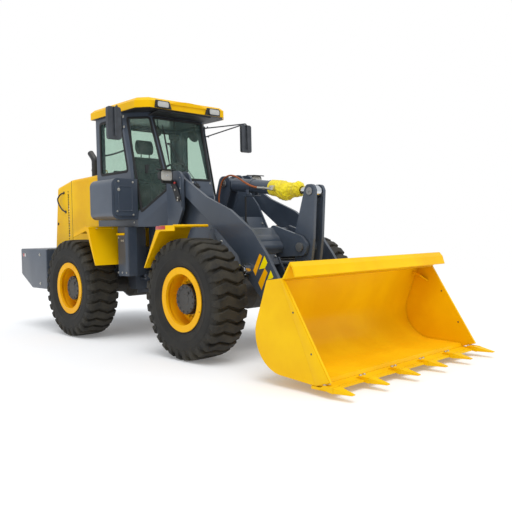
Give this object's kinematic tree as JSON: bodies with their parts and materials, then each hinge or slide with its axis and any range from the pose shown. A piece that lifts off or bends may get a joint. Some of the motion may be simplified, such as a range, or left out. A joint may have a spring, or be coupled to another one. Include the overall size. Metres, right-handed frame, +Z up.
{
  "type": "wheel loader",
  "caption": "Articulated wheel loader with a glazed cab, a boom with a reverse bucket linkage, a toothed bucket, lift, tilt and steering cylinders, a door and turning wheels.",
  "frame": {"origin": "on the ground midway between the tooth tips and the counterweight's rear face, in the machine's middle plane", "axes": "+X is forward, +Y is the machine's left, +Z is up"},
  "size_m": [6.68, 2.52, 3.165],
  "materials": {
    "yellow_paint": "satin",
    "grey_paint": "satin",
    "tyre_rubber": "matte",
    "hub_black": "satin",
    "edge_steel": "worn",
    "rod_chrome": "polished",
    "glass_tint": "clear",
    "black_plastic": "matte",
    "lamp_clear": "gloss",
    "seat_fabric": "matte",
    "wrap_cloth": "matte",
    "cast_grey": "satin",
    "grey_plastic": "matte"
  },
  "bodies": {
    "rear_body": {"rear_frame": "grey_paint", "pivot_pins": "edge_steel", "rear_axle": "hub_black", "engine_block": "cast_grey", "hood": "yellow_paint", "rear_grille": "black_plastic", "counterweight": "grey_paint", "rear_fenders": "yellow_paint", "exhaust_stack": "hub_black", "cab_frame": "grey_paint", "cab_glass": "glass_tint", "cab_roof": "yellow_paint", "roof_lamps": "lamp_clear", "driver_seat": "seat_fabric", "steering_column": "black_plastic", "air_unit": "grey_paint", "side_boxes": "grey_paint", "mirrors": "grey_plastic"},
    "door": {"cab_door": "grey_paint", "door_glass": "glass_tint"},
    "front_body": {"front_frame": "grey_paint", "nose_cover": "grey_paint", "front_axle": "hub_black", "front_fenders": "yellow_paint", "work_lamps": "black_plastic"},
    "boom": {"boom": "grey_paint"},
    "crank_pin": {"crank_pin": "edge_steel"},
    "bell_crank": {"bell_crank": "grey_paint"},
    "bucket_pin": {"bucket_pins": "edge_steel"},
    "bucket": {"bucket": "yellow_paint", "bucket_edge": "yellow_paint"},
    "link_pin": {"link_pin": "edge_steel"},
    "tilt_link": {"tilt_link": "grey_paint"},
    "tilt_barrel": {"tilt_barrel": "grey_paint"},
    "tilt_rod": {"tilt_rod": "rod_chrome", "tilt_wrap": "wrap_cloth"},
    "lift_barrel": {"lift_barrels": "grey_paint"},
    "lift_rod": {"lift_rods": "rod_chrome"},
    "steer_barrel_left": {"steer_barrel_left": "grey_paint"},
    "steer_rod_left": {"steer_rod_left": "rod_chrome"},
    "wheel_front_left": {"tyre_front_left": "tyre_rubber", "rim_front_left": "yellow_paint"},
    "wheel_rear_left": {"tyre_rear_left": "tyre_rubber", "rim_rear_left": "yellow_paint"},
    "steer_barrel_right": {"steer_barrel_right": "grey_paint"},
    "steer_rod_right": {"steer_rod_right": "rod_chrome"},
    "wheel_front_right": {"tyre_front_right": "tyre_rubber", "rim_front_right": "yellow_paint"},
    "wheel_rear_right": {"tyre_rear_right": "tyre_rubber", "rim_rear_right": "yellow_paint"}
  },
  "joints": [
    {"name": "steer", "type": "hinge", "parent": "rear_body", "child": "front_body", "pos_m": [-0.38, 0, 0.83], "axis": [0, 0, 1], "range_deg": [-36, 36]},
    {"name": "wheel_front_left_spin", "type": "hinge", "parent": "front_body", "child": "wheel_front_left", "pos_m": [0.92, 0.925, 0.674], "axis": [0, 1, 0], "continuous": true},
    {"name": "wheel_front_right_spin", "type": "hinge", "parent": "front_body", "child": "wheel_front_right", "pos_m": [0.92, -0.925, 0.674], "axis": [0, 1, 0], "continuous": true},
    {"name": "wheel_rear_left_spin", "type": "hinge", "parent": "rear_body", "child": "wheel_rear_left", "pos_m": [-1.68, 0.925, 0.674], "axis": [0, 1, 0], "continuous": true},
    {"name": "wheel_rear_right_spin", "type": "hinge", "parent": "rear_body", "child": "wheel_rear_right", "pos_m": [-1.68, -0.925, 0.674], "axis": [0, 1, 0], "continuous": true},
    {"name": "door_swing", "type": "hinge", "parent": "rear_body", "child": "door", "pos_m": [-1.36, 0.716, 2.2], "axis": [0, 0, 1], "range_deg": [0, 80]},
    {"name": "boom_lift", "type": "hinge", "parent": "front_body", "child": "boom", "pos_m": [0.12, 0, 2.02], "axis": [0, -1, 0], "range_deg": [-1.5, 80]},
    {"name": "bucket_level", "type": "hinge", "parent": "boom", "child": "bucket_pin", "pos_m": [2.1, 0, 0.36], "axis": [0, 1, 0], "range_deg": [-1.51, 80.01]},
    {"name": "bucket_tilt", "type": "hinge", "parent": "bucket_pin", "child": "bucket", "pos_m": [2.1, 0, 0.36], "axis": [0, 1, 0], "range_deg": [-42, 45]},
    {"name": "crank_level", "type": "hinge", "parent": "boom", "child": "crank_pin", "pos_m": [1.8, 0, 1.224], "axis": [0, -1, 0], "range_deg": [-0.52, 27.45]},
    {"name": "crank_swing", "type": "hinge", "parent": "crank_pin", "child": "bell_crank", "pos_m": [1.8, 0, 1.224], "axis": [0, -1, 0], "range_deg": [-7.99, 8.56]},
    {"name": "link_level", "type": "hinge", "parent": "bucket", "child": "link_pin", "pos_m": [2.165, 0, 0.56], "axis": [0, -1, 0], "range_deg": [-0.53, 27.69]},
    {"name": "link_swing", "type": "hinge", "parent": "link_pin", "child": "tilt_link", "pos_m": [2.165, 0, 0.56], "axis": [0, -1, 0], "range_deg": [-35.71, 38.26]},
    {"name": "tilt_barrel_swing", "type": "hinge", "parent": "front_body", "child": "tilt_barrel", "pos_m": [0.49, 0, 2.01], "axis": [0, -1, 0], "range_deg": [-1.76, 93.37]},
    {"name": "tilt_rod_slide", "type": "slide", "parent": "tilt_barrel", "child": "tilt_rod", "axis": [0.992, 0, -0.1262], "range_m": [-0.08857, 0.08269]},
    {"name": "lift_barrel_swing", "type": "hinge", "parent": "front_body", "child": "lift_barrel", "pos_m": [-0.03, 0, 0.96], "axis": [0, -1, 0], "range_deg": [-1.07, 56.3]},
    {"name": "lift_rod_slide", "type": "slide", "parent": "lift_barrel", "child": "lift_rod", "axis": [0.9998, 0, 0.0202], "range_m": [-0.02196, 1.14489]},
    {"name": "steer_barrel_left_swing", "type": "hinge", "parent": "rear_body", "child": "steer_barrel_left", "pos_m": [-0.98, 0.3, 0.83], "axis": [0, 0, 1], "range_deg": [-9.2, 9.2]},
    {"name": "steer_rod_left_slide", "type": "slide", "parent": "steer_barrel_left", "child": "steer_rod_left", "axis": [0.9993, 0.0384, 0], "range_m": [-0.19852, 0.19852]},
    {"name": "steer_barrel_right_swing", "type": "hinge", "parent": "rear_body", "child": "steer_barrel_right", "pos_m": [-0.98, -0.3, 0.83], "axis": [0, 0, 1], "range_deg": [-9.2, 9.2]},
    {"name": "steer_rod_right_slide", "type": "slide", "parent": "steer_barrel_right", "child": "steer_rod_right", "axis": [0.9993, -0.0384, 0], "range_m": [-0.19852, 0.19852]}
  ],
  "couplings": [
    {"joint": "crank_level", "follows": "boom_lift", "ratio": 0.343},
    {"joint": "crank_swing", "follows": "bucket_tilt", "ratio": 0.19},
    {"joint": "link_level", "follows": "boom_lift", "ratio": 0.346},
    {"joint": "link_swing", "follows": "bucket_tilt", "ratio": 0.85},
    {"joint": "bucket_level", "follows": "boom_lift", "ratio": 1},
    {"joint": "tilt_barrel_swing", "follows": "boom_lift", "ratio": 1.167},
    {"joint": "tilt_rod_slide", "follows": "bucket_tilt", "m_per_rad": -0.11213},
    {"joint": "lift_barrel_swing", "follows": "boom_lift", "ratio": 0.7036},
    {"joint": "lift_rod_slide", "follows": "boom_lift", "m_per_rad": 0.81961},
    {"joint": "steer_barrel_left_swing", "follows": "steer", "ratio": 0.25519},
    {"joint": "steer_rod_left_slide", "follows": "steer", "m_per_rad": -0.31516},
    {"joint": "steer_barrel_right_swing", "follows": "steer", "ratio": 0.25519},
    {"joint": "steer_rod_right_slide", "follows": "steer", "m_per_rad": 0.31516}
  ]
}
